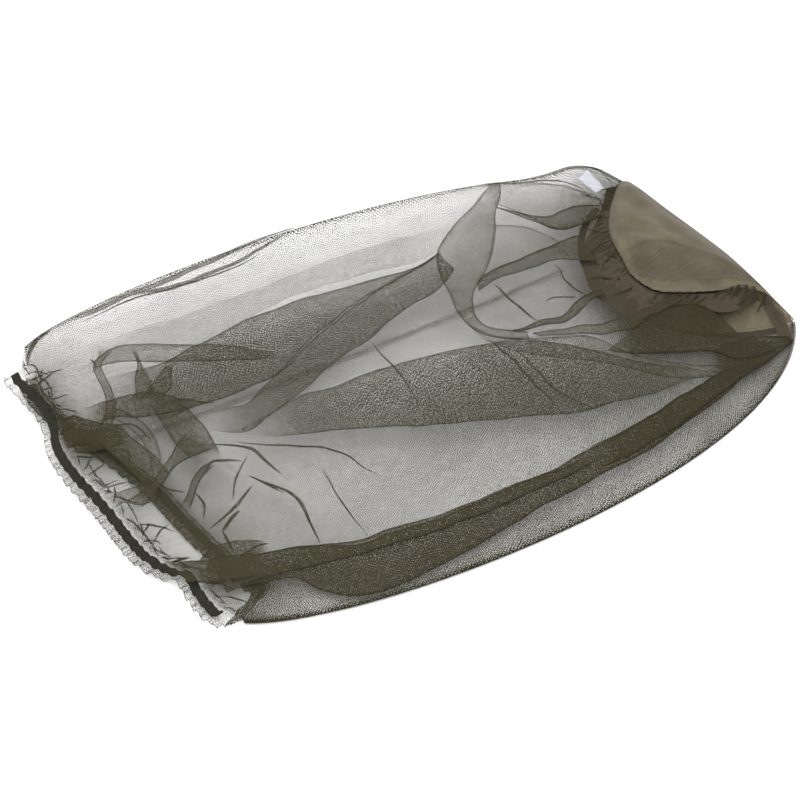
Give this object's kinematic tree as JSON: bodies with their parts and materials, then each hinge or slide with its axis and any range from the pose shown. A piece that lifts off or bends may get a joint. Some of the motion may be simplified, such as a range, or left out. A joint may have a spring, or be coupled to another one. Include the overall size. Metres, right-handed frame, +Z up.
{
  "type": "beekeeping veil",
  "caption": "Soft net veil with a round woven crown, gathered net tube and elastic neck, lying collapsed with its crown folded in half.",
  "frame": {"origin": "middle of the veil's footprint, on the surface it lies on", "axes": "+X along the veil from the elastic neck to the crown's fold, +Y across the flattened net, +Z up from the surface"},
  "size_m": [0.4827, 0.3214, 0.0412],
  "materials": {
    "net": "matte",
    "crown_cloth": "satin",
    "binding_tape": "matte",
    "elastic": "matte",
    "thread": "satin",
    "label": "satin"
  },
  "bodies": {
    "back": {"net_back": "net", "net_seam": "net", "net_seam_stitch": "thread", "crown_back": "crown_cloth", "crown_binding_back": "binding_tape", "crown_stitch_back": "thread", "neck_casing_back": "net", "neck_elastic_back": "elastic", "elastic_join": "elastic", "neck_stitch_back": "thread"},
    "front": {"net_front": "net", "crown_front": "crown_cloth", "crown_binding_front": "binding_tape", "crown_stitch_front": "thread", "neck_casing_front": "net", "neck_elastic_front": "elastic", "neck_stitch_front": "thread"},
    "label": {"care_label": "label"}
  },
  "joints": [
    {"name": "neck_open", "type": "hinge", "parent": "back", "child": "front", "pos_m": [0.241, 0.012, 0.0026], "axis": [0, 1, 0], "range_deg": [0, 12]},
    {"name": "label_flip", "type": "hinge", "parent": "front", "child": "label", "pos_m": [0.2103, 0.0972, 0.0221], "axis": [0.8841, 0.3183, -0.3421], "range_deg": [0, 140]}
  ]
}
